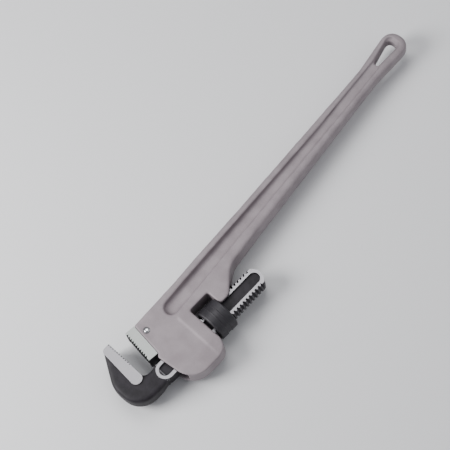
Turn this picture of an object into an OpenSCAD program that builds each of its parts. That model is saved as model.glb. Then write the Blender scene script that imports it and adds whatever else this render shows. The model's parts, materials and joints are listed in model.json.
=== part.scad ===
// Straight pipe wrench: an I-beam handle cast in one piece with its housing, a sliding hook jaw
// with a threaded shank, a pinned heel jaw, an adjusting nut, and the two springs that load the jaw.
// The design frame has +X along the shank towards the handle's end, +Y towards the mouth of the
// jaws and +Z through the thickness. Its zero is on the shank's axis, at the nut window's wall on
// the handle's side. placed() moves every piece so that the origin is the bottom centre of the box.

/* [Handle] */
// Distance along the shank from the nut window to the handle's end
handle_reach = 407; // [360:1:480]
// Height of the middle of the handle's end above the shank's axis
handle_rise = 86; // [80:0.5:96]
// Width of the handle just before it widens around the eye
waist_width = 26; // [24:0.5:30]
// Width of the handle's end around the eye
end_width = 37; // [36:0.5:42]
// Thickness of the handle at its end
end_thickness = 17; // [14:0.5:22]
// Thickness of the web between the flanges
web_thickness = 12; // [8:0.5:14]
// Width of the flanges beside the web at the head
flange_width = 9; // [7:0.5:11]
// Wall around the hanging eye
eye_wall = 7.5; // [6:0.5:9]
// Length of the pocket around the hanging eye
eye_length = 44; // [36:1:56]
// Width of the ledge between the eye's pocket and its hole
eye_ledge = 2.2; // [1:0.1:2.5]

/* [Head and housing] */
// Thickness of the head
head_thickness = 27; // [26:0.5:34]
// Thickness of the housing along its lower edge
housing_edge_thickness = 22.5; // [20:0.5:26]
// Height of the head above the shank's axis
head_rise = 64.5; // [62:0.5:70]
// Depth of the housing below the shank's axis
housing_drop = 36.5; // [36:0.5:46]
// Length of the housing in front of the nut window
housing_length = 62; // [56:1:74]
// Length of the nut window
window_length = 30; // [28:0.5:34]
// Top of the nut window above the shank's axis
window_rise = 28; // [24:0.5:30]
// Length of the fork that guides the shank behind the nut
fork_length = 15; // [12:0.5:20]
// Height of the fork's lower edge above the shank's axis
fork_rise = 7; // [5:0.5:9]

/* [Hook jaw] */
// Opening between the jaws at the throat in the rest pose
jaw_opening = 17; // [8:0.5:30]
// How much further the jaw opens from the rest pose
opening_travel = 55; // [30:1:60]
// Height of the hook jaw's tip above the shank's axis
hook_rise = 70.8; // [68:0.2:76]
// Depth of the hook behind its teeth
hook_depth = 34.4; // [30:0.2:40]
// Thickness of the hook's body
hook_thickness = 22; // [20:0.5:24]
// Thickness of the hook across its ground cheeks
cheek_thickness = 25; // [24:0.5:26]
// Width of the ground cheek at its tip
cheek_tip_width = 12; // [10:0.5:14]
// Width of the ground cheek at the throat
cheek_width = 15.3; // [13:0.1:17]
// Length of the shank behind the nut window
shank_tail = 60.5; // [50:0.5:90]

/* [Thread and nut] */
// Major diameter of the thread
thread_diameter = 31; // [29:0.5:31.5]
// Pitch of the thread
thread_pitch = 5.08; // [4:0.01:6]
// Depth of the thread
thread_depth = 1.8; // [1.2:0.1:2]
// Thickness of the shank across its flats
shank_thickness = 18.5; // [15:0.5:19]
// Diameter of the adjusting nut
nut_diameter = 42; // [38:0.5:46]
// Length of the adjusting nut
nut_length = 26; // [20:0.5:26.5]
// Width of the groove between the nut's two grip bands
nut_groove_width = 5; // [3:0.5:7]

/* [Heel jaw] */
// Thickness of the heel jaw
heel_thickness = 25; // [20:0.5:26]
// Width of the heel jaw in front of its seat
heel_width = 13.3; // [11:0.1:16]
// Height of the heel jaw's foot above the shank's axis
seat_rise = 19.3; // [18.5:0.1:24]
// Lean of the heel jaw's seat, in degrees
seat_lean = 6; // [3:0.5:8]
// Diameter of the heel jaw's pin
pin_diameter = 6; // [5:0.5:8]
// Distance of the pin behind the seat
pin_setback = 8; // [7:0.5:9]
// Distance of the pin above the heel jaw's foot, along the seat
pin_height = 31; // [24:0.5:34]

/* [Teeth] */
// Pitch of the jaw teeth
tooth_pitch = 3.5; // [3:0.1:4.5]
// Depth of the jaw teeth
tooth_depth = 2; // [1:0.1:2.6]
// Number of teeth on the hook jaw
hook_teeth = 11; // [8:1:12]
// Number of teeth on the heel jaw
heel_teeth = 11; // [8:1:12]

/* [Springs] */
// Thickness of the leaf spring
leaf_thickness = 1.2; // [0.8:0.1:1.6]
// Width of the leaf spring
leaf_width = 14; // [10:0.5:16]
// Outer diameter of the coil spring
coil_diameter = 9; // [7:0.5:10]
// Wire diameter of the coil spring
coil_wire = 1.4; // [1:0.1:1.8]
// Number of turns of the coil spring
coil_turns = 5; // [4:1:7]
// Rock of the hook jaw in the housing, in degrees
jaw_rock = 2.5; // [1:0.5:3]

/* [Hidden] */

big = 500;
overshoot = 20;
arc_steps = 8;
round_fn = 64;

// Clearances
flat_clearance = 0.3;
crown_clearance = 0.35;
bore_clearance = 0.08;
pin_clearance = 0.05;
tongue_clearance = 0.1;
leaf_clearance = 0.15;
floor_clearance = 0.4;
nut_gap = 0.8;

// Thread, shank and nut
major_r = thread_diameter / 2;
root_r = major_r - thread_depth;
plain_r = major_r - 0.7;
tail_r = major_r - 0.3;
half_flat = shank_thickness / 2;
nut_r = nut_diameter / 2;
nut_bore_r = major_r + bore_clearance;
nut_x = -nut_gap - nut_length / 2;
nut_wall = nut_r - nut_bore_r;
nut_chamfer = min(1.5, nut_wall * 0.35);
nut_bore_chamfer = min(1, nut_wall * 0.25);
nut_groove_depth = min(1, nut_wall * 0.35);

// Shares of a tooth's pitch that its flat crest and its steep face take
crest_share = 0.3;
face_share = 0.04;

// Travel: the jaw closes until the crests of both jaws are this far apart
closed_gap = 0.5;
closing_travel = jaw_opening - closed_gap;
thread_margin = 2.5;
thread_end_x = shank_tail - 10;
thread_foot = 0.38 * thread_pitch;
thread_crest = 0.15 * thread_pitch;
thread_bury = 0.4;
thread_base_y = root_r * 0.6;
flat_skin = 0.05;
thread_start_x = nut_x - nut_length / 2 - closing_travel - thread_margin;

// Heel jaw and its seat
mouth_x = -(window_length + housing_length);
heel_length = (head_rise - seat_rise) / cos(seat_lean) - 0.6;
tongue_depth = 17;
tongue_thickness = 12;
tongue_inset = 4;
heel_teeth_start = 3;
pin_dome = 0.9;
countersink = 1.1;

// Hook jaw: the line of its tooth crests, its cheek and its neck
hook_x = mouth_x - heel_width - jaw_opening;
hook_back_x = hook_x - hook_depth;
cheek_foot_y = 9.6;
tooth_foot_y = hook_rise - hook_teeth * tooth_pitch;
throat_x = hook_x - 1.2;
neck_top_y = 13;
neck_bottom_y = -10.5;
hook_bottom_y = -12.5;
neck_thickness = 17;
plate_x = hook_x + 11;
taper_start_x = hook_x - 3;
taper_end_x = plate_x - 0.5;
panel_half_height = 7.4;
panel_depth = 2.5;
panel_wall = 3.6;
rim_half_height = sqrt(pow(plain_r, 2) - pow(half_flat, 2));
shoulder_x = mouth_x + 6;

// Tunnel through the housing and groove in the fork, with room for the jaw's rock
rock_sink = -mouth_x * sin(jaw_rock);
leaf_bow = 2;
leaf_top_y = -major_r - leaf_clearance;
leaf_foot_y = leaf_top_y - leaf_bow - leaf_thickness;
tunnel_top_y = major_r + crown_clearance;
tunnel_floor_y = leaf_foot_y - rock_sink - floor_clearance;
tunnel_half = half_flat + flat_clearance;
fork_half_reach = 40;
groove_top_y = major_r + crown_clearance + fork_half_reach * sin(jaw_rock) * 0.8;

// Leaf and coil spring
leaf_front_x = mouth_x + 5;
leaf_back_x = -window_length - 5;
coil_x = mouth_x + 22;
coil_r = (coil_diameter - coil_wire) / 2;
coil_pocket_r = coil_diameter / 2 + 0.6;
coil_foot_y = -housing_drop + 5;
coil_seat_y = leaf_top_y - leaf_thickness - leaf_bow * 0.35;
spring_gap = 0.3;

function xy(v) = [v[0], v[1]];
function unit(v) = v / norm(v);
function turn_to(a, b) = let (d = b - a) d > 180 ? d - 360 : d < -180 ? d + 360 : d;

// The corner b of a path, rounded with radius r between its neighbours a and c
function corner(a, b, c, r) =
    r == 0 ? [b] :
    let (u = unit(a - b),
         v = unit(c - b),
         half = acos(u * v) / 2,
         centre = b + unit(u + v) * r / sin(half),
         p = b + u * r / tan(half) - centre,
         q = b + v * r / tan(half) - centre,
         start = atan2(p.y, p.x),
         sweep = turn_to(start, atan2(q.y, q.x)))
    [for (i = [0:arc_steps])
        let (t = start + sweep * i / arc_steps) centre + r * [cos(t), sin(t)]];

// A closed path of [x, y, corner radius] points, as the points of its rounded outline
function rounded(path) =
    let (n = len(path))
    [for (i = [0:n - 1])
        each corner(xy(path[(i + n - 1) % n]), xy(path[i]), xy(path[(i + 1) % n]), path[i][2])];

// A row of teeth from the point a towards b: each has a flat crest on the line, a slope down to its
// root and a steep face back up. The steel is to the right of the line from a to b.
function teeth(a, b, count) =
    let (along = unit(b - a), inward = [along.y, -along.x])
    [for (i = [0:count - 1])
        each [a + along * tooth_pitch * (i + crest_share),
              a + along * tooth_pitch * (i + 1) + inward * tooth_depth,
              a + along * tooth_pitch * (i + 1 + face_share)]];

// ---- outlines, all in the plane of the wrench ----

seat_foot = [mouth_x, seat_rise];
seat_up = [sin(seat_lean), cos(seat_lean)];
seat_out = [-cos(seat_lean), sin(seat_lean)];
seat_top = seat_foot + seat_up * (head_rise - seat_rise) / cos(seat_lean);
pin_at = seat_foot + seat_up * pin_height - seat_out * pin_setback;

taper_x = 40;
draft_height = 20;
window_radius = 2.5;
waist_x = handle_reach - 70;
waist_y = handle_rise - 7;
fork_slope_x = fork_length + 28;
end_low_y = handle_rise - end_width / 2;
end_high_y = handle_rise + end_width / 2;

handle_outline = rounded([
    [seat_top.x, seat_top.y, 2],
    [seat_foot.x, seat_foot.y, 0],
    [mouth_x - 3.6, seat_rise - 3.4, 3],
    [mouth_x + 2.5, -housing_drop, 27],
    [-window_length, -housing_drop, 17],
    [-window_length, window_rise, window_radius],
    [0, window_rise, window_radius],
    [0, fork_rise, 3],
    [fork_length, fork_rise, 10],
    [fork_slope_x, window_rise + 3.5, 35],
    [waist_x, waist_y - waist_width / 2, 60],
    [handle_reach, end_low_y, 15.5],
    [handle_reach, end_high_y, 16],
    [waist_x, waist_y + waist_width / 2, 60],
    [-window_length + 12, head_rise + 2.2, 150]]);

// The web's outline leaves a flange above and below it and runs out around the eye
web_start_x = -window_length - 20.5;
web_top_y = head_rise - flange_width + 0.6;
web_low_y = window_rise + flange_width;
web_bend_x = waist_x - 93;
web_end_x = handle_reach - eye_wall - eye_length + 2;

eye_low_y = end_low_y + eye_wall + 1.2;
eye_high_y = end_high_y - eye_wall;
eye_end_x = handle_reach - eye_wall - 1.5;
eye_shelf = 2;
eye_start_x = eye_end_x - eye_length;
eye_narrow = 10;

web_outline = rounded([
    [web_start_x, web_top_y, 9],
    [web_start_x, web_low_y, 9],
    [web_bend_x, waist_y - waist_width / 2 - 1.8, 0],
    [web_end_x, eye_low_y - 1, 0.5],
    [web_end_x, eye_low_y + eye_narrow + 1, 0.5],
    [web_bend_x, waist_y + waist_width / 2 - 16, 0]]);

// The eye's pocket, or its hole when inset by the ledge, which is wider at the far end by the shelf
function eye_outline(inset, shelf) = rounded([
    [eye_start_x + inset, eye_low_y + eye_narrow - inset * 0.8, 3 - inset / 2],
    [eye_start_x + inset, eye_low_y + inset, 3 - inset / 2],
    [eye_end_x - inset - shelf, eye_low_y + inset, 7 - inset / 2],
    [eye_end_x - inset - shelf, eye_high_y - inset, 7 - inset / 2]]);

neck_end_x = hook_x + 18;
tooth_back_x = hook_x - tooth_depth - 0.6;

hook_outline = rounded([
    [hook_x - 11, hook_rise - 0.8, 3],
    [hook_back_x, hook_rise - 40, 30],
    [hook_back_x, hook_bottom_y, 27],
    [hook_x + 6, hook_bottom_y - 1, 14],
    [neck_end_x, neck_bottom_y, 0],
    [neck_end_x, neck_top_y, 0],
    [throat_x, neck_top_y, 6],
    [throat_x, tooth_foot_y - 2, 0],
    [tooth_back_x, tooth_foot_y, 0],
    [tooth_back_x, hook_rise - 0.5, 0]]);

cheek_outline = rounded(concat(
    [[hook_x - cheek_tip_width, hook_rise, 5],
     [hook_x - cheek_width - 0.8, cheek_foot_y, 6.8],
     [hook_x - 1, cheek_foot_y, 6.8],
     [hook_x - 1, tooth_foot_y - 1.5, 0]],
    [for (p = teeth([hook_x, tooth_foot_y - 0.7], [hook_x, hook_rise], hook_teeth))
        [2 * hook_x - p.x, p.y, 0]],
    [[hook_x, hook_rise, 0]]));

// ---- modules ----

// Moves a piece from the design frame to the bottom centre of the whole wrench's box
module placed() {
    x_low = min([for (p = hook_outline) p.x]);
    x_high = max([for (p = handle_outline) p.x]);
    y_low = min([for (p = handle_outline) p.y]);
    y_high = max([for (p = handle_outline) p.y]);
    translate([-(x_low + x_high) / 2, -(y_low + y_high) / 2, nut_r]) children();
}

// A plate of the given outline, centred on the plane of the wrench
module plate(outline, thickness) {
    linear_extrude(thickness, center = true) polygon(outline);
}

// A cylinder along the shank's axis from x0 to x1
module bar(r, x0, x1) {
    translate([x0, 0, 0]) rotate([0, 90, 0]) cylinder(r = r, h = x1 - x0, $fn = round_fn);
}

// The handle's thickness seen along Y, and the housing's seen along X
module thickness_profile() {
    half = head_thickness / 2;
    half_end = end_thickness / 2;
    x0 = mouth_x - overshoot;
    x1 = handle_reach + overshoot;
    rotate([90, 0, 0])
        linear_extrude(big, center = true)
            polygon([[x0, -half], [taper_x, -half], [waist_x, -half_end], [x1, -half_end],
                     [x1, half_end], [waist_x, half_end], [taper_x, half], [x0, half]]);
}

module housing_profile() {
    half = head_thickness / 2;
    half_edge = housing_edge_thickness / 2;
    y0 = -housing_drop - 1;
    y1 = -housing_drop + draft_height;
    y2 = handle_rise + end_width;
    rotate([90, 0, 90])
        linear_extrude(big * 2, center = true)
            polygon([[y0, -half_edge], [y1, -half], [y2, -half],
                     [y2, half], [y1, half], [y0, half_edge]]);
}

// Slot that holds the heel jaw's tongue, or the tongue itself with no clearance
module tongue(clearance) {
    low = tongue_inset - clearance;
    high = heel_length - tongue_inset + clearance;
    depth = tongue_depth + clearance;
    thickness = tongue_thickness + 2 * clearance;
    points = [seat_foot + seat_up * low + seat_out * 2,
              seat_foot + seat_up * high + seat_out * 2,
              seat_foot + seat_up * high - seat_out * depth,
              seat_foot + seat_up * low - seat_out * depth];
    plate(points, thickness);
}

module pin_hole() {
    translate([pin_at.x, pin_at.y, 0])
        cylinder(d = pin_diameter + 2 * pin_clearance, h = big, center = true, $fn = round_fn);
}

module handle() color([0.62, 0.59, 0.61]) placed() difference() {
    intersection() {
        plate(handle_outline, head_thickness);
        thickness_profile();
        housing_profile();
    }
    for (side = [-1, 1])
        translate([0, 0, side * (web_thickness / 2 + big / 2)]) {
            plate(web_outline, big);
            plate(eye_outline(0, 0), big);
        }
    plate(eye_outline(eye_ledge, eye_shelf), big);
    // tunnel for the shank
    translate([mouth_x - overshoot, tunnel_floor_y, -tunnel_half])
        cube([housing_length + overshoot + 1, tunnel_top_y - tunnel_floor_y, 2 * tunnel_half]);
    // open groove in the fork
    translate([-1, -big + groove_top_y, -tunnel_half])
        cube([fork_half_reach + overshoot, big, 2 * tunnel_half]);
    // pocket of the coil spring
    translate([coil_x, tunnel_floor_y + 1, 0]) rotate([90, 0, 0])
        cylinder(r = coil_pocket_r, h = tunnel_floor_y + 1 - coil_foot_y, $fn = round_fn);
    tongue(tongue_clearance);
    pin_hole();
    for (side = [-1, 1])
        translate([pin_at.x, pin_at.y, side * (head_thickness / 2 - countersink / 2 + 0.01)])
            rotate([side < 0 ? 180 : 0, 0, 0])
                cylinder(d1 = pin_diameter + 2 * pin_clearance,
                         d2 = pin_diameter + 2 * pin_clearance + 2 * countersink,
                         h = countersink, center = true, $fn = round_fn);
}

// The thread along one edge of the shank, left where the flats cut it away: side is 1 for the edge
// towards the mouth and -1 for the other one. Each turn is a ring that leans by the lead angle,
// one way on one edge and the other way on the other, half a pitch further on.
module thread_edge(side) {
    lead = atan(thread_pitch / (2 * PI * root_r));
    buried_r = root_r - thread_bury;
    z_half = half_flat - flat_skin;
    shift = side > 0 ? 0 : thread_pitch / 2;
    first = ceil((thread_start_x - shift) / thread_pitch);
    last = floor((thread_end_x - shift) / thread_pitch);
    for (turn = [first:last])
        translate([shift + turn * thread_pitch, 0, 0]) intersection() {
            rotate([0, 90 + side * lead, 0])
                rotate_extrude($fn = round_fn)
                    polygon([[0, -thread_foot], [buried_r, -thread_foot], [major_r, -thread_crest],
                             [major_r, thread_crest], [buried_r, thread_foot], [0, thread_foot]]);
            translate([-thread_pitch, side > 0 ? thread_base_y : -thread_base_y - thread_diameter,
                       -z_half])
                cube([2 * thread_pitch, thread_diameter, 2 * z_half]);
        }
}

// A stadium: an outline with half-round ends, from x0 to x1
function stadium(x0, x1, half) = rounded([
    [x0, half, half - 0.01], [x0, -half, half - 0.01], [x1, -half, half - 0.01], [x1, half, half - 0.01]]);

module shank() {
    difference() {
        union() {
            // in front of the shoulder the shank is no wider than its ground rim
            intersection() {
                bar(plain_r, plate_x - 5, shoulder_x + 1);
                plate(stadium(plate_x, shoulder_x + 20, rim_half_height), shank_thickness);
            }
            intersection() {
                union() {
                    bar(plain_r, shoulder_x, thread_start_x);
                    bar(root_r, thread_start_x - 1, thread_end_x + 1);
                    bar(tail_r, thread_end_x, shank_tail + 5);
                }
                plate(stadium(shoulder_x - 20, shank_tail, tail_r - 0.2), shank_thickness);
            }
            thread_edge(1);
            thread_edge(-1);
        }
        for (side = [-1, 1])
            translate([0, 0, side * (half_flat - panel_depth + big / 2)])
                plate(stadium(plate_x + panel_wall, shank_tail - panel_wall, panel_half_height), big);
    }
}

// The hook's thickness seen along Y: full behind the teeth, and tapered down to the neck
module hook_profile() {
    half = hook_thickness / 2;
    half_neck = neck_thickness / 2;
    x0 = hook_back_x - overshoot;
    x1 = hook_x + 2 * overshoot;
    rotate([90, 0, 0])
        linear_extrude(big, center = true)
            polygon([[x0, -half], [taper_start_x, -half], [taper_end_x, -half_neck], [x1, -half_neck],
                     [x1, half_neck], [taper_end_x, half_neck], [taper_start_x, half], [x0, half]]);
}

module hook_jaw() color([0.26, 0.25, 0.27]) placed() union() {
    intersection() {
        plate(hook_outline, hook_thickness);
        hook_profile();
    }
    plate(cheek_outline, cheek_thickness);
    shank();
}

module adjusting_nut() color([0.24, 0.24, 0.26]) placed() {
    half = nut_length / 2;
    groove = nut_groove_width / 2;
    translate([nut_x, 0, 0]) rotate([0, 90, 0])
        rotate_extrude($fn = round_fn)
            polygon([[nut_bore_r, -half + nut_bore_chamfer], [nut_bore_r + nut_bore_chamfer, -half],
                     [nut_r - nut_chamfer, -half],
                     [nut_r, -half + nut_chamfer], [nut_r, -groove - nut_groove_depth],
                     [nut_r - nut_groove_depth, -groove], [nut_r - nut_groove_depth, groove],
                     [nut_r, groove + nut_groove_depth], [nut_r, half - nut_chamfer],
                     [nut_r - nut_chamfer, half], [nut_bore_r + nut_bore_chamfer, half],
                     [nut_bore_r, half - nut_bore_chamfer]]);
}

module heel_jaw() color([0.76, 0.77, 0.76]) placed() difference() {
    front_foot = seat_foot + seat_out * heel_width;
    front_top = front_foot + seat_up * heel_length;
    union() {
        plate(concat([seat_foot + seat_up * heel_length, seat_foot, front_foot],
                     teeth(front_foot + seat_up * heel_teeth_start, front_top, heel_teeth),
                     [front_top]), heel_thickness);
        intersection() {
            tongue(0);
            plate([seat_foot + seat_out, seat_foot + seat_up * heel_length + seat_out,
                   seat_foot + seat_up * heel_length - seat_out * tongue_depth,
                   seat_foot - seat_out * tongue_depth], tongue_thickness);
        }
    }
    pin_hole();
}

module heel_jaw_pin() color([0.85, 0.85, 0.86]) placed() {
    half = head_thickness / 2 - countersink;
    r = pin_diameter / 2;
    translate([pin_at.x, pin_at.y, 0])
        rotate_extrude($fn = round_fn)
            polygon(concat([[0, -half - pin_dome]],
                           [for (i = [1:6]) let (t = 90 * i / 6) [r * sin(t), -half - pin_dome * cos(t)]],
                           [for (i = [0:5]) let (t = 90 - 90 * i / 6) [r * sin(t), half + pin_dome * cos(t)]],
                           [[0, half + pin_dome]]));
}

module leaf_spring() color([0.35, 0.36, 0.40]) placed() {
    steps = 12;
    length = leaf_back_x - leaf_front_x;
    top = [for (i = [0:steps])
        let (t = i / steps) [leaf_front_x + length * t, leaf_top_y - leaf_bow * pow(2 * t - 1, 2)]];
    plate(concat(top, [for (i = [steps:-1:0]) top[i] - [0, leaf_thickness]]), leaf_width);
}

module coil_spring() color([0.45, 0.46, 0.50]) placed() {
    sides = 8;
    per_turn = 14;
    steps = coil_turns * per_turn;
    foot_y = coil_foot_y + 0.1;
    rise = coil_seat_y - spring_gap - foot_y - coil_wire;
    rings = [for (i = [0:steps])
        let (t = 360 * i / per_turn, y = foot_y + coil_wire / 2 + rise * i / steps)
        [for (j = [0:sides - 1])
            let (a = 360 * j / sides, r = coil_r + coil_wire / 2 * cos(a))
            [coil_x + r * cos(t), y + coil_wire / 2 * sin(a), r * sin(t)]]];
    points = [for (r = rings) each r];
    walls = [for (i = [0:steps - 1]) for (j = [0:sides - 1])
        let (a = i * sides + j, b = i * sides + (j + 1) % sides)
        each [[a, b, b + sides], [a, b + sides, a + sides]]];
    polyhedron(points, concat(walls, [[for (j = [sides - 1:-1:0]) j]],
                              [[for (j = [0:sides - 1]) steps * sides + j]]));
}

handle();
hook_jaw();
adjusting_nut();
heel_jaw();
heel_jaw_pin();
leaf_spring();
coil_spring();
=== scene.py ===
"""Looks of a straight pipe wrench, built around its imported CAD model."""

from __future__ import annotations

import json
import logging
import math
from dataclasses import dataclass
from enum import Enum
from typing import Callable

import bmesh
import bpy
from mathutils import Matrix, Vector
from mathutils.bvhtree import BVHTree
from mathutils.kdtree import KDTree

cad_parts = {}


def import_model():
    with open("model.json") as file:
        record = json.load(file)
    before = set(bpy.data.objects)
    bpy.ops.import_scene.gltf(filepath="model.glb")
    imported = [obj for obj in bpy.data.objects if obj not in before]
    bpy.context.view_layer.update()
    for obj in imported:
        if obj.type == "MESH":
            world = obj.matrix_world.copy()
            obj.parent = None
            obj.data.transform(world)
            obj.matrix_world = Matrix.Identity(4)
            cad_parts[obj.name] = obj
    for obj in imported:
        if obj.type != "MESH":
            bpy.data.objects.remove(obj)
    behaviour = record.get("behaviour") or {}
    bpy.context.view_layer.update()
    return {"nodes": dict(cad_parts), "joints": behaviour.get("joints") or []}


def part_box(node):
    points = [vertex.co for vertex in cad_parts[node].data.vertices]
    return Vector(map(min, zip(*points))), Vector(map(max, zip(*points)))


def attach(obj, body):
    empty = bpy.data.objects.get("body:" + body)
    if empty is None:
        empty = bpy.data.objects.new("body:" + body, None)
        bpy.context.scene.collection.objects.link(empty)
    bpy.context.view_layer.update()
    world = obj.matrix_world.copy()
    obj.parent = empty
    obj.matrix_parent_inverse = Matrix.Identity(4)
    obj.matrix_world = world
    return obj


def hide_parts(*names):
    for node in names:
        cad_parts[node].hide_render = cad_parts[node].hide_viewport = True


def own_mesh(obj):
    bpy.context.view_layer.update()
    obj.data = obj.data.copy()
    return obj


LOG = logging.getLogger("pipe_wrench")
MM = 0.001
FAR = 1.0  # metres, past the end of any piece
WELD = 0.002 * MM
PLANE_SLACK = 0.001 * MM
FACE_SLACK = 0.01 * MM
SHARP_ANGLE = math.radians(30)
FLAT_ANGLE = math.radians(0.5)
TURN_STEPS = 48

Colour = tuple[float, float, float, float]
Span = tuple[float, float]


class Slot(Enum):
    """The record's material slots."""

    CAST = "cast_aluminium"
    FORGED = "forged_steel"
    NUT = "nut_steel"
    JAW = "jaw_steel"
    PIN = "pin_steel"
    SPRING = "spring_steel"


class Body(Enum):
    """The bodies that the pieces ride on."""

    HANDLE = "handle"
    HOOK = "hook_jaw"
    NUT = "adjusting_nut"


# ---- shader expressions ----


class Term:
    """A shader socket that takes part in arithmetic."""

    def __init__(self, graph: "Graph", socket: bpy.types.NodeSocket) -> None:
        """Wraps a socket.

        Args:
            graph: The graph that the socket belongs to.
            socket: The output socket.
        """
        self.graph = graph
        self.socket = socket

    def _math(self, operation: str, first: object, second: object) -> "Term":
        """Adds one Math node.

        Args:
            operation: The node's operation.
            first: The first operand.
            second: The second operand.

        Returns:
            The node's result.
        """
        return self.graph.node("ShaderNodeMath", {"operation": operation}, {0: first, 1: second})

    def __add__(self, other: object) -> "Term":
        """Adds a value.

        Args:
            other: The value.

        Returns:
            The sum.
        """
        return self._math("ADD", self, other)

    def __radd__(self, other: object) -> "Term":
        """Is added to a value.

        Args:
            other: The value.

        Returns:
            The sum.
        """
        return self._math("ADD", other, self)

    def __sub__(self, other: object) -> "Term":
        """Takes a value away.

        Args:
            other: The value.

        Returns:
            The difference.
        """
        return self._math("SUBTRACT", self, other)

    def __rsub__(self, other: object) -> "Term":
        """Is taken away from a value.

        Args:
            other: The value.

        Returns:
            The difference.
        """
        return self._math("SUBTRACT", other, self)

    def __mul__(self, other: object) -> "Term":
        """Multiplies by a value.

        Args:
            other: The value.

        Returns:
            The product.
        """
        return self._math("MULTIPLY", self, other)

    def __rmul__(self, other: object) -> "Term":
        """Multiplies a value.

        Args:
            other: The value.

        Returns:
            The product.
        """
        return self._math("MULTIPLY", other, self)

    def __abs__(self) -> "Term":
        """Drops the sign.

        Returns:
            The value without its sign.
        """
        return self._math("ABSOLUTE", self, 0.0)


class Graph:
    """The node tree of one material."""

    def __init__(self, name: str) -> None:
        """Starts a material with an empty tree.

        Args:
            name: The material's name.
        """
        self.material = bpy.data.materials.new(name)
        self.material.use_nodes = True
        self.tree = self.material.node_tree
        self.tree.nodes.clear()

    def node(self, kind: str, settings: dict, values: dict, output: int | str = 0) -> Term:
        """Adds a node.

        Args:
            kind: The node's type.
            settings: Its settings, set before anything else.
            values: The values or links of its sockets.
            output: The output to return.

        Returns:
            The chosen output.
        """
        made = self.tree.nodes.new(kind)
        for key, value in settings.items():
            setattr(made, key, value)
        for key, value in values.items():
            if isinstance(value, Term):
                self.tree.links.new(value.socket, made.inputs[key])
            else:
                made.inputs[key].default_value = value
        return Term(self, made.outputs[output])

    def place(self, origin: Vector) -> Term:
        """The point on the surface, measured from an origin.

        Args:
            origin: The origin, in the object's own frame.

        Returns:
            The point, as a vector.
        """
        point = self.node("ShaderNodeTexCoord", {}, {}, "Object")
        return self.node("ShaderNodeMapping", {}, {"Vector": point, "Location": tuple(-origin)})

    def parts(self, vector: Term) -> tuple[Term, Term, Term]:
        """Splits a vector.

        Args:
            vector: The vector.

        Returns:
            Its three parts.
        """
        x = self.node("ShaderNodeSeparateXYZ", {}, {"Vector": vector}, "X")
        made = x.socket.node
        return x, Term(self, made.outputs["Y"]), Term(self, made.outputs["Z"])

    def noise(self, vector: Term, scale: float, detail: float = 3.0) -> Term:
        """Noise from 0 to 1.

        Args:
            vector: The point.
            scale: Its scale, per metre.
            detail: How many octaves it has.

        Returns:
            The noise.
        """
        values = {"Vector": vector, "Scale": scale, "Detail": detail}
        return self.node("ShaderNodeTexNoise", {}, values, "Fac")

    def stretched(self, vector: Term, scale: tuple[float, float, float]) -> Term:
        """A point scaled along each axis, for patterns that run one way.

        Args:
            vector: The point.
            scale: The scale along each axis.

        Returns:
            The scaled point.
        """
        return self.node("ShaderNodeMapping", {}, {"Vector": vector, "Scale": scale})

    def rise(self, value: Term, low: float, high: float) -> Term:
        """A soft step from 0 at low to 1 at high.

        Args:
            value: The value that is tested.
            low: Where the step starts.
            high: Where it ends.

        Returns:
            The step.
        """
        settings = {"interpolation_type": "SMOOTHSTEP"}
        return self.node(
            "ShaderNodeMapRange", settings, {"Value": value, "From Min": low, "From Max": high}
        )

    def mix(self, share: Term | float, first: Colour | Term, second: Colour | Term) -> Term:
        """Mixes two colours.

        Args:
            share: The second colour's share.
            first: The colour at 0.
            second: The colour at 1.

        Returns:
            The mixed colour.
        """
        settings = {"data_type": "RGBA"}
        return self.node("ShaderNodeMix", settings, {"Factor": share, 6: first, 7: second}, 2)

    def bump(self, height: Term, strength: float, distance: float) -> Term:
        """A bumped normal.

        Args:
            height: The height, from 0 to 1.
            strength: How strong the bump is.
            distance: The height in metres that 1 stands for.

        Returns:
            The normal.
        """
        values = {"Height": height, "Strength": strength, "Distance": distance}
        return self.node("ShaderNodeBump", {}, values)

    def edges(self, low: float, high: float) -> Term:
        """How much of an outside edge the surface is, from 0 to 1.

        Args:
            low: The sharpness at which the edge starts.
            high: The sharpness at which it is full.

        Returns:
            The share.
        """
        sharp = self.node("ShaderNodeNewGeometry", {}, {}, "Pointiness")
        return self.rise(sharp, low, high)

    def surface(self, values: dict) -> bpy.types.Material:
        """Ends the tree with one surface shader.

        Args:
            values: The values and links of the shader.

        Returns:
            The material.
        """
        shader = self.node("ShaderNodeBsdfPrincipled", {}, values)
        end = self.tree.nodes.new("ShaderNodeOutputMaterial")
        self.tree.links.new(shader.socket, end.inputs["Surface"])
        return self.material


# ---- finishes ----


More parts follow.
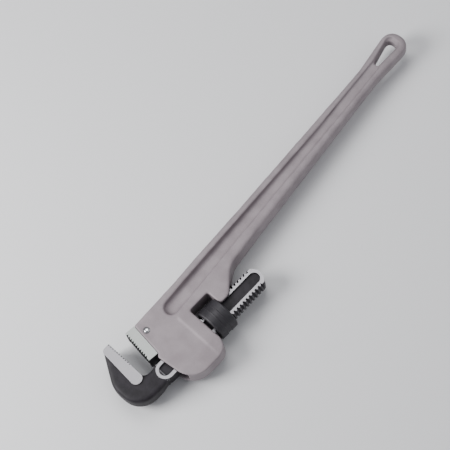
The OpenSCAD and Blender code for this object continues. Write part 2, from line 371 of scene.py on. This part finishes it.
@dataclass(frozen=True)
class CastFinish:
    """Blasted aluminium casting under a thin matte coat."""

    name: str = "cast_aluminium_coat"
    dark: Colour = (0.235, 0.200, 0.216, 1.0)
    light: Colour = (0.290, 0.250, 0.268, 1.0)
    worn: Colour = (0.46, 0.42, 0.43, 1.0)

    def make(self, origin: Vector) -> bpy.types.Material:
        """Builds the material.

        Args:
            origin: The point that its patterns start from.

        Returns:
            The material.
        """
        graph = Graph(self.name)
        point = graph.place(origin)
        cloud = graph.noise(point, scale=55.0, detail=4.0)
        grain = graph.noise(point, scale=900.0, detail=3.0)
        speck = graph.noise(point, scale=2600.0, detail=2.0)
        worn = graph.edges(low=0.53, high=0.60) * graph.rise(cloud, low=0.35, high=0.7)
        tone = graph.rise(cloud + 0.35 * grain, low=0.45, high=0.90)
        coat = graph.mix(tone, self.dark, self.light)
        coat = graph.mix(0.25 * graph.rise(speck, low=0.5, high=0.75), coat, self.worn)
        return graph.surface(
            {
                "Base Color": graph.mix(0.35 * worn, coat, self.worn),
                "Metallic": 0.25 + 0.3 * worn,
                "Roughness": 0.50 + 0.12 * grain - 0.10 * worn,
                "Normal": graph.bump(0.6 * grain + 0.4 * speck, strength=0.30, distance=0.25 * MM),
            }
        )


@dataclass(frozen=True)
class ForgedFinish:
    """Black oxide forging with faces that are ground bright above a level."""

    name: str
    ground_level: float
    crest_radius: float = FAR
    dark: Colour = (0.011, 0.0095, 0.012, 1.0)
    scale: Colour = (0.022, 0.019, 0.024, 1.0)
    bright: Colour = (0.37, 0.36, 0.38, 1.0)

    def make(self, origin: Vector) -> bpy.types.Material:
        """Builds the material.

        Args:
            origin: The point on the shank's axis that its patterns start from.

        Returns:
            The material.
        """
        graph = Graph(self.name)
        point = graph.place(origin)
        _, y, z = graph.parts(point)
        cloud = graph.noise(point, scale=90.0, detail=4.0)
        pits = graph.noise(point, scale=700.0, detail=3.0)
        lines = graph.noise(graph.stretched(point, (90.0, 1800.0, 90.0)), scale=1.0, detail=2.0)
        level = graph.rise(
            abs(z), low=self.ground_level - 0.25 * MM, high=self.ground_level - 0.05 * MM
        )
        radius = graph.node("ShaderNodeMath", {"operation": "SQRT"}, {0: y * y + z * z})
        crest = graph.rise(
            radius, low=self.crest_radius - 0.35 * MM, high=self.crest_radius - 0.05 * MM
        )
        rubbed = 0.55 * graph.edges(low=0.54, high=0.62) * graph.rise(cloud, low=0.40, high=0.65)
        ground = graph.node("ShaderNodeMath", {"operation": "MAXIMUM"}, {0: level, 1: 0.2 * crest})
        bare = graph.node("ShaderNodeMath", {"operation": "MAXIMUM"}, {0: ground, 1: rubbed})
        tone = graph.rise(cloud + 0.3 * pits, low=0.45, high=0.85)
        skin = graph.mix(tone, self.dark, self.scale)
        steel = graph.mix(0.18 * lines, self.bright, self.scale)
        return graph.surface(
            {
                "Base Color": graph.mix(bare, skin, steel),
                "Specular IOR Level": 0.28,
                "Metallic": 0.9 * bare,
                "Roughness": 0.50 + 0.12 * pits - bare * (0.14 + 0.05 * lines),
                "Normal": graph.bump(
                    (1.0 - level) * pits + 0.25 * level * lines, strength=0.35, distance=0.25 * MM
                ),
            }
        )


@dataclass(frozen=True)
class SteelFinish:
    """Steel of one finish all over: ground, polished, oxidised or blued."""

    name: str
    colour: Colour
    shade: Colour
    roughness: float
    metallic: float = 1.0
    grind: float = 0.5
    rubbed_bare: Colour = (0.72, 0.71, 0.72, 1.0)

    def make(self, origin: Vector) -> bpy.types.Material:
        """Builds the material.

        Args:
            origin: The point that its patterns start from.

        Returns:
            The material.
        """
        graph = Graph(self.name)
        point = graph.place(origin)
        cloud = graph.noise(point, scale=120.0, detail=3.0)
        pits = graph.noise(point, scale=1500.0, detail=2.0)
        lines = graph.noise(graph.stretched(point, (1600.0, 120.0, 120.0)), scale=1.0, detail=2.0)
        rubbed = 0.4 * graph.edges(low=0.54, high=0.62)
        share = graph.rise(0.5 * cloud + 0.5 * lines, low=0.25, high=0.75)
        tone = graph.mix(share, self.shade, self.colour)
        return graph.surface(
            {
                "Base Color": graph.mix(rubbed, tone, self.rubbed_bare),
                "Metallic": self.metallic,
                "Roughness": self.roughness + 0.08 * pits - 0.08 * rubbed,
                "Normal": graph.bump(
                    self.grind * lines + 0.3 * pits, strength=0.20, distance=0.15 * MM
                ),
            }
        )


@dataclass(frozen=True)
class FloorFinish:
    """Plain pale studio floor."""

    name: str = "studio_floor"
    colour: Colour = (0.78, 0.78, 0.79, 1.0)
    roughness: float = 0.8

    def make(self) -> bpy.types.Material:
        """Builds the material.

        Returns:
            The material.
        """
        return Graph(self.name).surface({"Base Color": self.colour, "Roughness": self.roughness})


# ---- mesh work ----


def merged_copy(node: bpy.types.Object) -> bmesh.types.BMesh:
    """Copies a CAD node's mesh and merges its loose triangles.

    Args:
        node: The CAD node's object.

    Returns:
        The copy.
    """
    shape = bmesh.new()
    shape.from_mesh(node.data)
    bmesh.ops.remove_doubles(shape, verts=shape.verts, dist=WELD)
    return shape


def cut(shape: bmesh.types.BMesh, point: Vector, normal: Vector) -> None:
    """Cuts away what lies past a plane, and closes the cut.

    Args:
        shape: The mesh.
        point: A point on the plane.
        normal: The plane's normal, towards the side that goes.
    """
    geometry = list(shape.verts) + list(shape.edges) + list(shape.faces)
    made = bmesh.ops.bisect_plane(
        shape, geom=geometry, dist=PLANE_SLACK, plane_co=point, plane_no=normal, clear_outer=True
    )
    rim = [e for e in made["geom_cut"] if isinstance(e, bmesh.types.BMEdge) and e.is_boundary]
    if rim:
        bmesh.ops.triangle_fill(shape, use_beauty=True, use_dissolve=False, edges=rim)


def block(node: bpy.types.Object, origin: Vector, x: Span, z: Span) -> bmesh.types.BMesh:
    """The part of a CAD node between planes across X and across Z.

    Args:
        node: The CAD node's object.
        origin: The point that the spans are measured from.
        x: The lowest and highest X.
        z: The lowest and highest Z.

    Returns:
        The part, closed.
    """
    shape = merged_copy(node)
    for axis, (low, high) in ((Vector((1, 0, 0)), x), (Vector((0, 0, 1)), z)):
        cut(shape, origin + axis * low, -axis)
        cut(shape, origin + axis * high, axis)
    return shape


def joined(shapes: list[bmesh.types.BMesh]) -> bmesh.types.BMesh:
    """Puts several meshes into one.

    Args:
        shapes: The meshes, which are freed.

    Returns:
        The one mesh.
    """
    whole = bmesh.new()
    for shape in shapes:
        mesh = bpy.data.meshes.new("joined_part")
        shape.to_mesh(mesh)
        shape.free()
        whole.from_mesh(mesh)
        bpy.data.meshes.remove(mesh)
    return whole


def deepened(shape: bmesh.types.BMesh, low: float, depth: float) -> bmesh.types.BMesh:
    """Moves a slab's cut face along Z, so that its walls reach down into what it stands on.

    Args:
        shape: The slab.
        low: The Z of its cut face.
        depth: The Z that the cut face moves to.

    Returns:
        The slab.
    """
    for vert in shape.verts:
        if abs(vert.co.z - low) < FACE_SLACK:
            vert.co.z = depth
    return shape


def sharp_points(shape: bmesh.types.BMesh, step: float) -> KDTree:
    """Points along a mesh's sharp edges.

    Args:
        shape: The mesh.
        step: The distance between the points.

    Returns:
        The points.
    """
    points = []
    for edge in shape.edges:
        if edge.is_manifold and edge.calc_face_angle() < SHARP_ANGLE:
            continue
        start, end = (vert.co for vert in edge.verts)
        count = max(1, math.ceil((end - start).length / step))
        points += [start.lerp(end, i / count) for i in range(count + 1)]
    tree = KDTree(len(points))
    for index, point in enumerate(points):
        tree.insert(point, index)
    tree.balance()
    return tree


def recast(shape: bmesh.types.BMesh, grain: float) -> bmesh.types.BMesh:
    """Rebuilds a closed mesh as one even skin that lies on the mesh's own faces and edges.

    Args:
        shape: The mesh, which is freed.
        grain: The size of the skin's faces.

    Returns:
        The skin.
    """
    faces = BVHTree.FromBMesh(shape)
    point_step, edge_reach = grain / 4, 0.75 * grain
    ridges = sharp_points(shape, point_step)
    mesh = bpy.data.meshes.new("recast_part")
    shape.to_mesh(mesh)
    shape.free()
    holder = bpy.data.objects.new("recast_part", mesh)
    bpy.context.scene.collection.objects.link(holder)
    remesh = holder.modifiers.new("Skin", "REMESH")
    remesh.mode = "VOXEL"
    remesh.voxel_size = grain
    bpy.context.view_layer.update()
    depsgraph = bpy.context.evaluated_depsgraph_get()
    made = bpy.data.meshes.new_from_object(holder.evaluated_get(depsgraph))
    skin = bmesh.new()
    skin.from_mesh(made)
    for vert in skin.verts:
        ridge, _, distance = ridges.find(vert.co)
        vert.co = ridge if distance < edge_reach else faces.find_nearest(vert.co)[0]
    bpy.data.objects.remove(holder)
    bpy.data.meshes.remove(mesh)
    bpy.data.meshes.remove(made)
    return skin


def merge_flats(shape: bmesh.types.BMesh) -> None:
    """Joins the triangles of each flat face.

    Args:
        shape: The mesh.
    """
    bmesh.ops.dissolve_limit(shape, angle_limit=FLAT_ANGLE, verts=shape.verts, edges=shape.edges)


def soften(shape: bmesh.types.BMesh, passes: int, chosen: Callable[[Vector], bool]) -> None:
    """Rounds edges and corners by repeated smoothing.

    Args:
        shape: The mesh.
        passes: How many times it is smoothed.
        chosen: Says which points move.
    """
    points = [v for v in shape.verts if chosen(v.co)]
    for _ in range(passes):
        bmesh.ops.smooth_vert(
            shape, verts=points, factor=0.5, use_axis_x=True, use_axis_y=True, use_axis_z=True
        )


def turned(profile: list[Span], centre: Vector, axis: Vector, steps: int) -> bmesh.types.BMesh:
    """Turns a closed profile about an axis.

    Args:
        profile: The profile's points, each its place along the axis and its radius.
        centre: The axis's zero.
        axis: The axis.
        steps: How many steps the turn has.

    Returns:
        The turned shape.
    """
    shape = bmesh.new()
    side = axis.orthogonal().normalized()
    ring = [shape.verts.new(centre + axis * along + side * radius) for along, radius in profile]
    rim = [shape.edges.new((a, b)) for a, b in zip(ring, ring[1:])]
    if profile[0][1] > 0:
        rim.append(shape.edges.new((ring[-1], ring[0])))
    bmesh.ops.spin(
        shape,
        geom=ring + rim,
        cent=centre,
        axis=axis,
        angle=2 * math.pi,
        steps=steps,
        use_merge=True,
    )
    bmesh.ops.remove_doubles(shape, verts=shape.verts, dist=WELD)
    bmesh.ops.recalc_face_normals(shape, faces=shape.faces)
    return shape


def smooth_step(value: float, low: float, high: float) -> float:
    """A soft step from 0 at low to 1 at high.

    Args:
        value: The value that is tested.
        low: Where the step starts.
        high: Where it ends.

    Returns:
        The step.
    """
    share = min(max((value - low) / (high - low), 0.0), 1.0)
    return share * share * (3 - 2 * share)


def height_at(stations: tuple[Span, ...], x: float) -> float:
    """Reads a line given by a few stations.

    Args:
        stations: The line's points, in order of X.
        x: The place along the line.

    Returns:
        The line's height there.
    """
    for (x0, y0), (x1, y1) in zip(stations, stations[1:]):
        if x <= x1:
            break
    return y0 + (y1 - y0) * (x - x0) / (x1 - x0)


@dataclass
class Workshop:
    """What every sub-assembly is built with: the frame, its zero and the materials."""

    nodes: dict[str, bpy.types.Object]
    origin: Vector
    flat_angle: float = 32.0
    bevel_angle: float = 40.0

    def piece(
        self,
        shape: bmesh.types.BMesh,
        name: str,
        body: Body,
        slot: Slot,
        material: bpy.types.Material,
        replaces: tuple[str, ...] = (),
    ) -> bpy.types.Object:
        """Turns a mesh into a finished piece.

        Args:
            shape: The mesh, which is freed.
            name: The piece's name.
            body: The body that it rides on.
            slot: The record's slot for its finish; not used.
            material: Its material.
            replaces: The CAD nodes that it stands for.

        Returns:
            The piece.
        """
        mesh = bpy.data.meshes.new(name)
        shape.to_mesh(mesh)
        shape.free()
        mesh.materials.append(material)
        mesh.shade_smooth()
        mesh.set_sharp_from_angle(angle=math.radians(self.flat_angle))
        made = bpy.data.objects.new(name, mesh)
        bpy.context.scene.collection.objects.link(made)
        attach(made, body.value)
        if replaces:
            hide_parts(*replaces)
        LOG.info("%s: %d faces on %s", name, len(mesh.polygons), body.value)
        return made

    def dress(self, node: str, material: bpy.types.Material) -> None:
        """Gives a CAD node that stays its material.

        Args:
            node: The node's name.
            material: The material.
        """
        mesh = self.nodes[node].data
        mesh.materials.clear()
        mesh.materials.append(material)
        LOG.info("%s: CAD node with %s", node, material.name)

    def round_edges(self, made: bpy.types.Object, width: float, segments: int = 2) -> None:
        """Breaks a piece's sharp edges.

        Args:
            made: The piece.
            width: The width of the broken edge.
            segments: How many faces round it.
        """
        bevel = made.modifiers.new("Broken edges", "BEVEL")
        bevel.limit_method = "ANGLE"
        bevel.angle_limit = math.radians(self.bevel_angle)
        bevel.width = width
        bevel.segments = segments
        bevel.harden_normals = True


# ---- sub-assemblies ----


@dataclass
class HandleCasting:
    """The cast handle with its housing, recessed web and hanging eye."""

    shop: Workshop
    grain: float = 1.05 * MM
    edge_passes: int = 9
    wall_passes: int = 24
    fillet_passes: int = 40
    web_half: float = 6.0 * MM
    web_start: float = -54 * MM
    web_low: float = 33 * MM
    head_half: float = 13.5 * MM
    end_half: float = 8.5 * MM
    taper_span: Span = (40 * MM, 337 * MM)
    cheek_drop: float = 1.2 * MM
    wall_end: float = 260 * MM
    fillet_end: float = -22 * MM
    low_edge: tuple[Span, ...] = ((43 * MM, 31.5 * MM), (337 * MM, 66 * MM), (407 * MM, 67.5 * MM))
    high_edge: tuple[Span, ...] = ((-18 * MM, 66.7 * MM), (337 * MM, 92 * MM), (407 * MM, 104.5 * MM))
    end_centre: Span = (389.5 * MM, 86 * MM)
    end_radius: float = 18.5 * MM
    grip_start: float = 30 * MM
    grip_band: float = 5 * MM
    grip_passes: int = 9
    grip_rounds: int = 5
    grip_stagger: int = 3
    pin_pocket: Span = (3.2 * MM, 1.5 * MM)
    pocket_reach: float = 5 * MM
    web_slack: float = 0.5 * MM
    rim_slack: float = 1.1 * MM
    cheek_rim: float = 4 * MM
    land_rise: Span = (30 * MM, 52 * MM)
    land_step: Span = (-48.5 * MM, -43.5 * MM)
    land_spread: Span = (-40 * MM, 43 * MM)

    def half_thickness(self, x: float) -> float:
        """Half the casting's thickness.

        Args:
            x: The distance along the handle.

        Returns:
            Half the thickness there.
        """
        low, high = self.taper_span
        share = min(max((x - low) / (high - low), 0.0), 1.0)
        return self.head_half + (self.end_half - self.head_half) * share

    def in_web_wall(self, point: Vector, end: float) -> bool:
        """Says whether a point is on the sloped wall round the web or on the web beside it.

        Args:
            point: The point.
            end: How far along the handle the wall is looked for.

        Returns:
            Whether it is.
        """
        x, y, z = point - self.shop.origin
        if not self.web_start < x < end or y < self.web_low:
            return False
        top = self.half_thickness(x) - self.rim_slack
        return self.web_half - self.web_slack < abs(z) < top

    def on_grip_edge(self, point: Vector, start: float) -> bool:
        """Says whether a point is on the grip's sides or near its outer edges.

        Args:
            point: The point.
            start: Where along the handle the grip starts.

        Returns:
            Whether it is.
        """
        x, y, _ = point - self.shop.origin
        centre_x, centre_y = self.end_centre
        if x > centre_x:
            return math.hypot(x - centre_x, y - centre_y) > self.end_radius - self.grip_band
        low, high = height_at(self.low_edge, x), height_at(self.high_edge, x)
        return x > start and (y < low + self.grip_band or y > high - self.grip_band)

    def settle_cheek(self, shape: bmesh.types.BMesh) -> None:
        """Sinks the cheek a little in front of the raised land beside the nut window.

        Args:
            shape: The casting's mesh.
        """
        rim_start = self.head_half - self.cheek_rim
        for vert in shape.verts:
            x, y, z = vert.co - self.shop.origin
            if abs(z) < rim_start or x > 0:
                continue
            upper = smooth_step(y, *self.land_rise)
            start, end = (at + by * upper for at, by in zip(self.land_step, self.land_spread))
            drop = self.cheek_drop * (1 - smooth_step(x, start, end))
            rim = smooth_step(abs(z), rim_start, self.head_half)
            vert.co.z -= math.copysign(drop * rim, z)

    def sink_pin(self, shape: bmesh.types.BMesh) -> None:
        """Sinks the skin under the heel jaw's pin and its countersink.

        Args:
            shape: The casting's mesh.
        """
        low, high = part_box("heel_jaw_pin")
        centre = (low + high) / 2
        radius, depth = self.pin_pocket
        floor = self.head_half - self.cheek_drop - depth
        for vert in shape.verts:
            offset = vert.co - centre
            if offset.xy.length < radius and abs(offset.z) > self.head_half - self.pocket_reach:
                vert.co.z = centre.z + math.copysign(floor, offset.z)

    def build(self) -> None:
        """Builds the casting and dresses it."""
        shape = recast(merged_copy(self.shop.nodes["handle"]), self.grain)
        fillets = (self.fillet_passes, self.fillet_end)
        walls = (self.wall_passes, self.wall_end)
        for passes, end in (fillets, walls):
            soften(shape, passes, lambda point: self.in_web_wall(point, end))
        for turn in range(self.grip_rounds):
            start = self.grip_start + turn * self.grip_stagger * self.grip_band
            soften(shape, self.grip_passes, lambda point: self.on_grip_edge(point, start))
        soften(shape, self.edge_passes, lambda point: True)
        self.settle_cheek(shape)
        self.sink_pin(shape)
        finish = CastFinish().make(self.shop.origin)
        self.shop.piece(shape, "handle_casting", Body.HANDLE, Slot.CAST, finish, ("handle",))


@dataclass
class HookJaw:
    """The forged hook jaw with its ground cheeks and threaded shank."""

    shop: Workshop
    grain: float = 0.75 * MM
    body_passes: int = 110
    body_half: float = 11.0 * MM
    cheek_half: float = 12.5 * MM
    neck_half: float = 8.5 * MM
    flat_half: float = 9.25 * MM
    tooth_line: float = 34.4 * MM
    rim_depth: float = 3.0 * MM
    plate_setback: float = 11.0 * MM
    neck_setback: float = 18.0 * MM
    crest_radius: float = 15.5 * MM
    plate_gap: float = 0.05 * MM
    neck_lap: float = 0.6 * MM
    neck_tail: float = 0.5 * MM
    soft_reach: float = 4 * MM
    skin_gap: float = 0.02 * MM
    rim_lap: float = 0.1 * MM
    cheek_edge: float = 0.2 * MM
    shank_edge: float = 0.25 * MM

    def build_head(self, node: bpy.types.Object, plate_x: float, tooth_x: float) -> None:
        """Builds the hook and its neck as one soft-edged forging.

        Args:
            node: The CAD node.
            plate_x: Where the shank's flats start.
            tooth_x: The line of the tooth crests.
        """
        origin = self.shop.origin
        neck_end = tooth_x + self.neck_setback + self.neck_tail
        hook = block(
            node, origin, (-FAR, plate_x - self.plate_gap), (-self.body_half, self.body_half)
        )
        neck = block(
            node, origin, (plate_x - self.neck_lap, neck_end), (-self.neck_half, self.neck_half)
        )
        shape = recast(joined([hook, neck]), self.grain)
        soft_end = plate_x + self.soft_reach
        soften(shape, self.body_passes, lambda point: point.x - origin.x < soft_end)
        finish = ForgedFinish("forged_hook", self.cheek_half).make(origin)
        self.shop.piece(shape, "hook_forging", Body.HOOK, Slot.FORGED, finish, ("hook_jaw",))

    def build_cheeks(self, node: bpy.types.Object, plate_x: float) -> None:
        """Builds the toothed plate whose two ground cheeks stand out of the hook.

        Args:
            node: The CAD node.
            plate_x: Where the shank's flats start.
        """
        origin = self.shop.origin
        skin = self.body_half + self.skin_gap
        shape = deepened(
            block(node, origin, (-FAR, plate_x - self.plate_gap), (skin, FAR)),
            origin.z + skin,
            origin.z - self.cheek_half,
        )
        merge_flats(shape)
        finish = ForgedFinish("ground_cheeks", self.cheek_half).make(origin)
        made = self.shop.piece(shape, "hook_cheeks", Body.HOOK, Slot.FORGED, finish)
        self.shop.round_edges(made, self.cheek_edge)

    def build_shank(self, node: bpy.types.Object, plate_x: float, tooth_x: float) -> None:
        """Builds the threaded shank with its ground rims.

        Args:
            node: The CAD node.
            plate_x: Where the shank's flats start.
            tooth_x: The line of the tooth crests.
        """
        origin = self.shop.origin
        neck_end = tooth_x + self.neck_setback + self.plate_gap
        start = plate_x - self.rim_lap
        skin = self.neck_half + self.skin_gap
        shape = joined(
            [
                block(node, origin, (neck_end, FAR), (-FAR, FAR)),
                deepened(
                    block(node, origin, (start, neck_end), (skin, FAR)),
                    origin.z + skin,
                    origin.z + self.rim_depth,
                ),
                deepened(
                    block(node, origin, (start, neck_end), (-FAR, -skin)),
                    origin.z - skin,
                    origin.z - self.rim_depth,
                ),
            ]
        )
        merge_flats(shape)
        finish = ForgedFinish("forged_shank", self.flat_half, self.crest_radius).make(origin)
        made = self.shop.piece(shape, "threaded_shank", Body.HOOK, Slot.FORGED, finish)
        self.shop.round_edges(made, self.shank_edge)

    def build(self) -> None:
        """Builds the hook jaw."""
        node = self.shop.nodes["hook_jaw"]
        back_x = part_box("hook_jaw")[0].x - self.shop.origin.x
        tooth_x = back_x + self.tooth_line
        plate_x = tooth_x + self.plate_setback
        self.build_head(node, plate_x, tooth_x)
        self.build_cheeks(node, plate_x)
        self.build_shank(node, plate_x, tooth_x)


@dataclass
class HeelJaw:
    """The toothed heel jaw, its pin and the pin's countersink, darkened with painted shade and oxide.
    """

    shop: Workshop
    jaw_half: float = 12.5 * MM
    pin_radius: float = 3.0 * MM
    ring_radius: float = 4.2 * MM
    head_half: float = 12.3 * MM
    dome: float = 1.0 * MM
    dome_edge: float = 0.4 * MM
    dome_steps: int = 8
    ring_stand: float = 0.08 * MM
    ring_lip: float = 0.1 * MM
    ring_lead: float = 0.6 * MM
    ring_depth: float = 2.2 * MM
    ring_gap: float = 0.05 * MM
    jaw_edge: float = 0.25 * MM
    jaw_colour: Colour = (0.385, 0.405, 0.39, 1.0)

    def build_jaw(self) -> None:
        """Builds the heel jaw with broken edges."""
        shape = merged_copy(self.shop.nodes["heel_jaw"])
        merge_flats(shape)
        look = ForgedFinish("ground_heel_jaw", self.jaw_half, bright=self.jaw_colour)
        finish = look.make(self.shop.origin)
        made = self.shop.piece(
            shape, "heel_jaw_block", Body.HANDLE, Slot.JAW, finish, ("heel_jaw",)
        )
        self.shop.round_edges(made, self.jaw_edge)

    def build_pin(self) -> None:
        """Builds the domed pin and the near-black rings it sits in, which paint shade, with some
        oxide, into its countersinks.
        """
        low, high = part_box("heel_jaw_pin")
        centre = (low + high) / 2
        up = Vector((0, 0, 1))
        edge = self.head_half - self.dome_edge
        arc = [math.radians(90 * i / self.dome_steps) for i in range(self.dome_steps + 1)]
        top = [(edge + self.dome * math.cos(t), self.pin_radius * math.sin(t)) for t in arc]
        profile = top + [(-along, radius) for along, radius in reversed(top)]
        pin = SteelFinish(
            "polished_pin", (0.80, 0.80, 0.81, 1.0), (0.70, 0.70, 0.72, 1.0), 0.14, grind=0.1
        ).make(self.shop.origin)
        self.shop.piece(
            turned(profile, centre, up, TURN_STEPS),
            "jaw_pin",
            Body.HANDLE,
            Slot.PIN,
            pin,
            ("heel_jaw_pin",),
        )
        # The countersink rings are near-black: painted shade in the countersinks, partly oxide.
        ring_shade_finish = SteelFinish(
            "countersink_painted_shade_and_oxide", (0.05, 0.045, 0.05, 1.0), (0.03, 0.027, 0.03, 1.0), 0.7, 0.0
        ).make(self.shop.origin)
        inner = self.pin_radius + self.ring_gap
        section = [
            (self.head_half + self.ring_stand, self.ring_radius),
            (self.head_half + self.ring_stand, self.ring_radius - self.ring_lip),
            (self.head_half - self.ring_lead, inner),
            (self.head_half - self.ring_depth, inner),
            (self.head_half - self.ring_depth, self.ring_radius),
        ]
        rings = joined(
            [
                turned([(side * along, r) for along, r in section], centre, up, TURN_STEPS)
                for side in (1, -1)
            ]
        )
        self.shop.piece(rings, "pin_countersink_shade_rings", Body.HANDLE, Slot.CAST, ring_shade_finish)

    def build(self) -> None:
        """Builds the heel jaw and its pin."""
        self.build_jaw()
        self.build_pin()


@dataclass
class AdjustingNut:
    """The round nut with two knurled bands."""

    shop: Workshop
    bore_radius: float = 15.58 * MM
    chamfer: float = 1.4 * MM
    groove_half: float = 2.5 * MM
    groove_depth: float = 0.8 * MM
    knurl_depth: float = 0.45 * MM
    knurl_rows: int = 20
    knurls_round: int = 66
    steps_per_knurl: int = 4
    knurl_margin: float = 0.1 * MM
    chamfer_break: float = 0.3 * MM
    face_drop: float = 0.4 * MM
    bore_chamfer: float = 1.0 * MM

    def profile(self, half: float, radius: float) -> list[Span]:
        """The nut's section.

        Args:
            half: Half its length.
            radius: Its outer radius.

        Returns:
            The section's points.
        """
        start = self.groove_half + self.groove_depth
        end = half - self.chamfer
        rows = range(self.knurl_rows + 1)
        band = [(start + (end - start) * i / self.knurl_rows, radius) for i in rows]
        right = [
            (self.groove_half, radius - self.groove_depth),
            *band,
            (half - self.chamfer_break, radius - self.chamfer + self.chamfer_break),
            (half, radius - self.chamfer - self.face_drop),
            (half, self.bore_radius + self.bore_chamfer),
            (half - self.bore_chamfer, self.bore_radius),
        ]
        return [(-along, r) for along, r in reversed(right)] + right

    def knurl(self, shape: bmesh.types.BMesh, centre: Vector, half: float, radius: float) -> None:
        """Sinks the grooves between the knurl's points.

        Args:
            shape: The nut's mesh.
            centre: The nut's middle.
            half: Half its length.
            radius: Its outer radius.
        """
        start = self.groove_half + self.groove_depth
        end = half - self.chamfer
        pitch = (end - start) / self.knurl_rows * self.steps_per_knurl
        for vert in shape.verts:
            along, across, up = vert.co - centre
            inside = math.hypot(across, up) < radius - FACE_SLACK
            if inside or abs(along) < start + self.knurl_margin:
                continue
            row = (abs(along) - start) / pitch
            turn = math.atan2(up, across) / (2 * math.pi) * self.knurls_round
            waves = [abs(((turn + sign * row) % 1.0) * 2 - 1) for sign in (1, -1)]
            depth = sum(self.knurl_depth * (1 - wave) * 0.5 for wave in waves)
            scale = 1 - depth / radius
            vert.co.y = centre.y + across * scale
            vert.co.z = centre.z + up * scale

    def build(self) -> None:
        """Builds the nut."""
        low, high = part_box("adjusting_nut")
        centre = (low + high) / 2
        half = (high.x - low.x) / 2
        radius = (high.z - low.z) / 2
        steps = self.knurls_round * self.steps_per_knurl
        shape = turned(self.profile(half, radius), centre, Vector((1, 0, 0)), steps)
        self.knurl(shape, centre, half, radius)
        finish = SteelFinish(
            "oxide_nut", (0.036, 0.034, 0.039, 1.0), (0.019, 0.017, 0.021, 1.0), 0.42, 0.25, 0.2
        ).make(self.shop.origin)
        self.shop.piece(shape, "knurled_nut", Body.NUT, Slot.NUT, finish, ("adjusting_nut",))


@dataclass
class Springs:
    """The leaf spring and the coil spring inside the housing."""

    shop: Workshop
    coil_keep: float = 0.74

    def build_coil(self, finish: bpy.types.Material) -> None:
        """Builds the coil spring in its CAD shape, with a mesh of its own; it does not shorten as the
        jaw rocks.

        Args:
            finish: Its material.
        """
        shape = merged_copy(self.shop.nodes["coil_spring"])
        made = self.shop.piece(
            shape, "coil_spring_wire", Body.HANDLE, Slot.SPRING, finish, ("coil_spring",)
        )
        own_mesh(made)

    def build(self) -> None:
        """Dresses the leaf spring, which keeps its CAD shape, and builds the coil."""
        blued = SteelFinish(
            "blued_spring_steel", (0.20, 0.22, 0.27, 1.0), (0.12, 0.13, 0.16, 1.0), 0.3, grind=0.3
        ).make(self.shop.origin)
        self.shop.dress("leaf_spring", blued)
        self.build_coil(blued)


@dataclass(frozen=True)
class SoftLight:
    """A soft square light, placed from the camera's aim and facing it."""

    name: str
    offset: tuple[float, float, float]
    size: float
    power: float


@dataclass
class Studio:
    """A pale floor, soft lights and the camera."""

    origin: Vector
    aim: tuple[float, float, float] = (0.0788, 0.0768, 0.0)
    azimuth: float = 59.0
    elevation: float = 65.22
    roll: float = 16.74
    distance: float = 1.8504
    lens: float = 123.45
    sensor: float = 36.0
    floor_size: float = 8.0
    room_colour: Colour = (0.90, 0.92, 1.0, 1.0)
    room_strength: float = 0.28
    lights: tuple[SoftLight, ...] = (
        SoftLight("key_light", offset=(-0.95, 0.55, 0.85), size=0.7, power=25.0),
        SoftLight("mirror_light", offset=(0.40, 0.66, 1.7), size=1.2, power=16.0),
        SoftLight("fill_light", offset=(0.9, -1.0, 1.1), size=1.6, power=7.0),
    )

    def look(self) -> Matrix:
        """Works out the camera's turn.

        Returns:
            The turn, whose columns are the camera's right, up and backward axes.
        """
        turn, rise = math.radians(self.azimuth), math.radians(self.elevation)
        forward = Vector(
            (math.cos(turn) * math.cos(rise), math.sin(turn) * math.cos(rise), -math.sin(rise))
        )
        level = forward.cross(Vector((0, 0, 1))).normalized()
        right = Matrix.Rotation(math.radians(self.roll), 3, forward) @ level
        up = right.cross(forward)
        return Matrix((right, up, -forward)).transposed()

    def build_camera(self) -> None:
        """Places the camera."""
        turn = self.look()
        camera = bpy.data.cameras.new("camera")
        camera.lens = self.lens
        camera.sensor_width = self.sensor
        holder = bpy.data.objects.new("camera", camera)
        target = self.origin + Vector(self.aim)
        place = Matrix.Translation(target + turn.col[2] * self.distance)
        holder.matrix_world = place @ turn.to_4x4()
        bpy.context.scene.collection.objects.link(holder)
        bpy.context.scene.camera = holder

    def build_light(self, light: SoftLight) -> None:
        """Adds a soft light.

        Args:
            light: The light.
        """
        lamp = bpy.data.lights.new(light.name, "AREA")
        lamp.size = light.size
        lamp.energy = light.power
        holder = bpy.data.objects.new(light.name, lamp)
        offset = Vector(light.offset)
        holder.location = self.origin + Vector(self.aim) + offset
        holder.rotation_euler = offset.to_track_quat("Z", "Y").to_euler()
        bpy.context.scene.collection.objects.link(holder)

    def build_floor(self) -> None:
        """Lays the floor."""
        shape = bmesh.new()
        bmesh.ops.create_grid(shape, x_segments=1, y_segments=1, size=self.floor_size / 2)
        mesh = bpy.data.meshes.new("studio_floor")
        shape.to_mesh(mesh)
        shape.free()
        mesh.materials.append(FloorFinish().make())
        floor = bpy.data.objects.new("studio_floor", mesh)
        bpy.context.scene.collection.objects.link(floor)

    def build_world(self) -> None:
        """Gives the room its even light."""
        world = bpy.data.worlds.new("studio_room")
        world.use_nodes = True
        back = world.node_tree.nodes["Background"]
        back.inputs["Color"].default_value = self.room_colour
        back.inputs["Strength"].default_value = self.room_strength
        bpy.context.scene.world = world

    def build(self) -> None:
        """Builds the studio."""
        self.build_camera()
        self.build_floor()
        self.build_world()
        for light in self.lights:
            self.build_light(light)


def main() -> None:
    """Builds the scene."""
    logging.basicConfig(level=logging.INFO, format="%(message)s")
    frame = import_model()
    rock = next(joint for joint in frame["joints"] if joint["name"] == "jaw_rock")
    origin = Vector(rock["pos_m"])
    shop = Workshop(frame["nodes"], origin)
    Studio(origin).build()
    for part in (HandleCasting, HookJaw, HeelJaw, AdjustingNut, Springs):
        part(shop).build()


if __name__ == "__main__":
    main()
